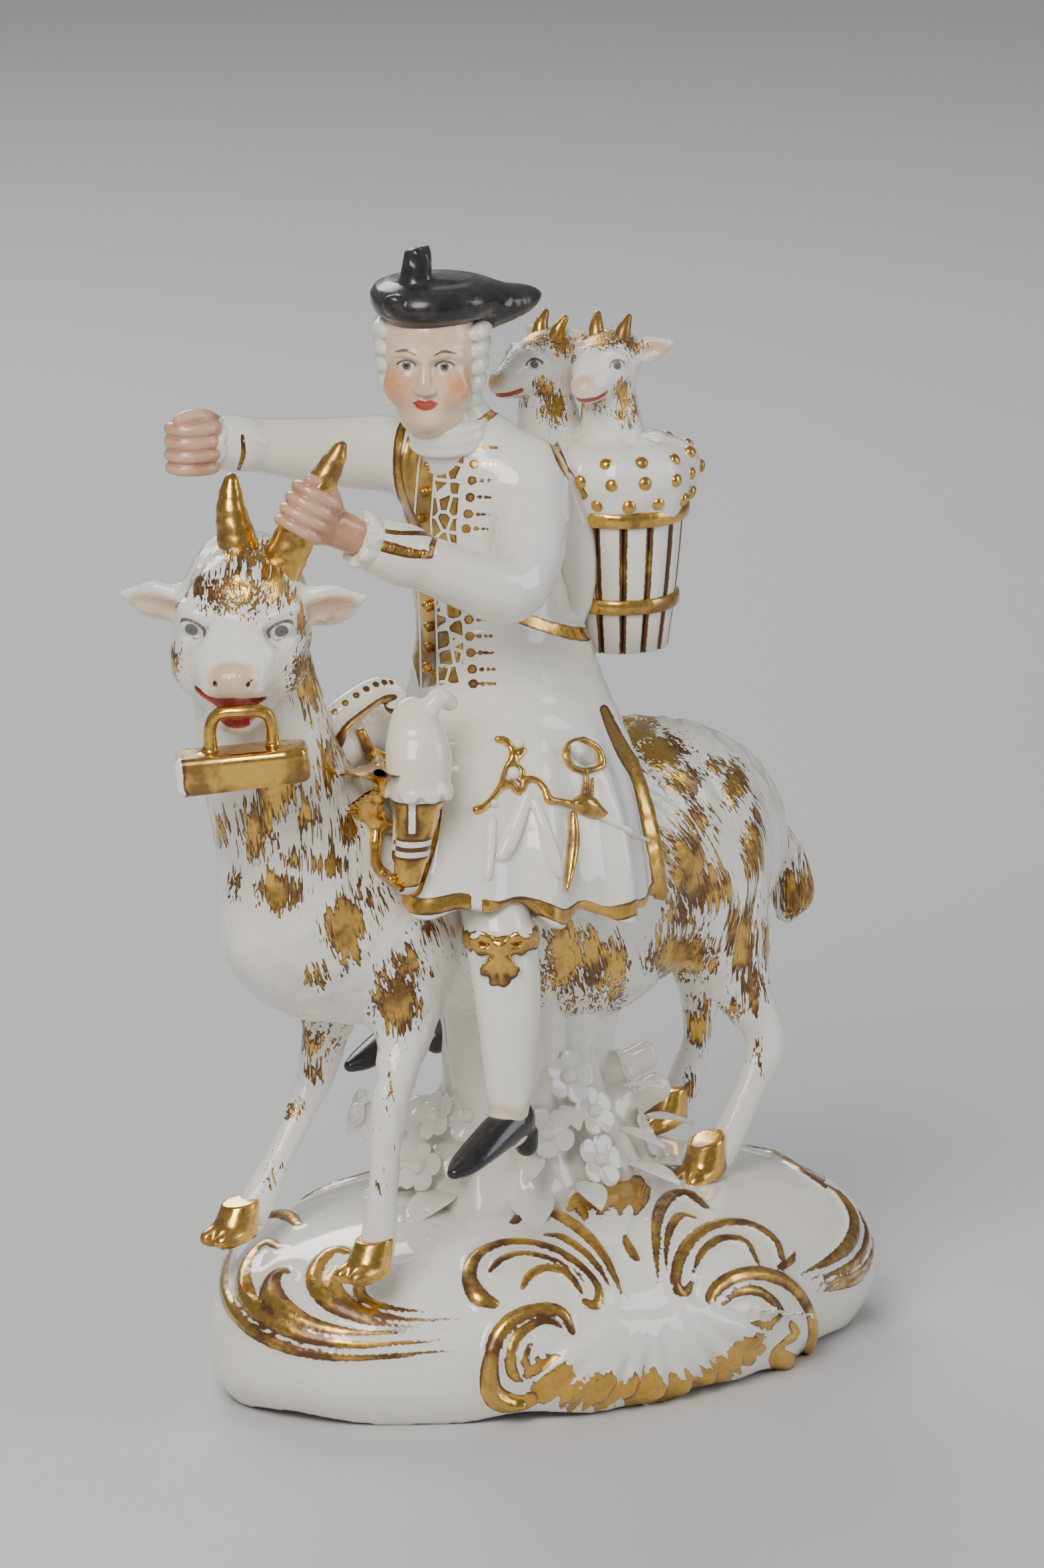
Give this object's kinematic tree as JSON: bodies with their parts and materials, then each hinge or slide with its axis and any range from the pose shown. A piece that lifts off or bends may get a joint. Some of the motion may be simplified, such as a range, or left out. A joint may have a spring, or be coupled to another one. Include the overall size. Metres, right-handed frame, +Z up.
{
  "type": "porcelain figure group",
  "caption": "Glazed and gilded porcelain group of a rider on a goat with kids in a tub, on a scrolled mound base.",
  "frame": {"origin": "centre of the flat underside of the base", "axes": "+Z up, -X the way the goat faces, -Y towards the goat's left side"},
  "size_m": [0.1962, 0.1141, 0.2405],
  "materials": {
    "porcelain": "glossy warm white glaze with burnished gilding and black and flesh enamels"
  },
  "bodies": {
    "root": {"figure_group": "porcelain"}
  },
  "joints": []
}
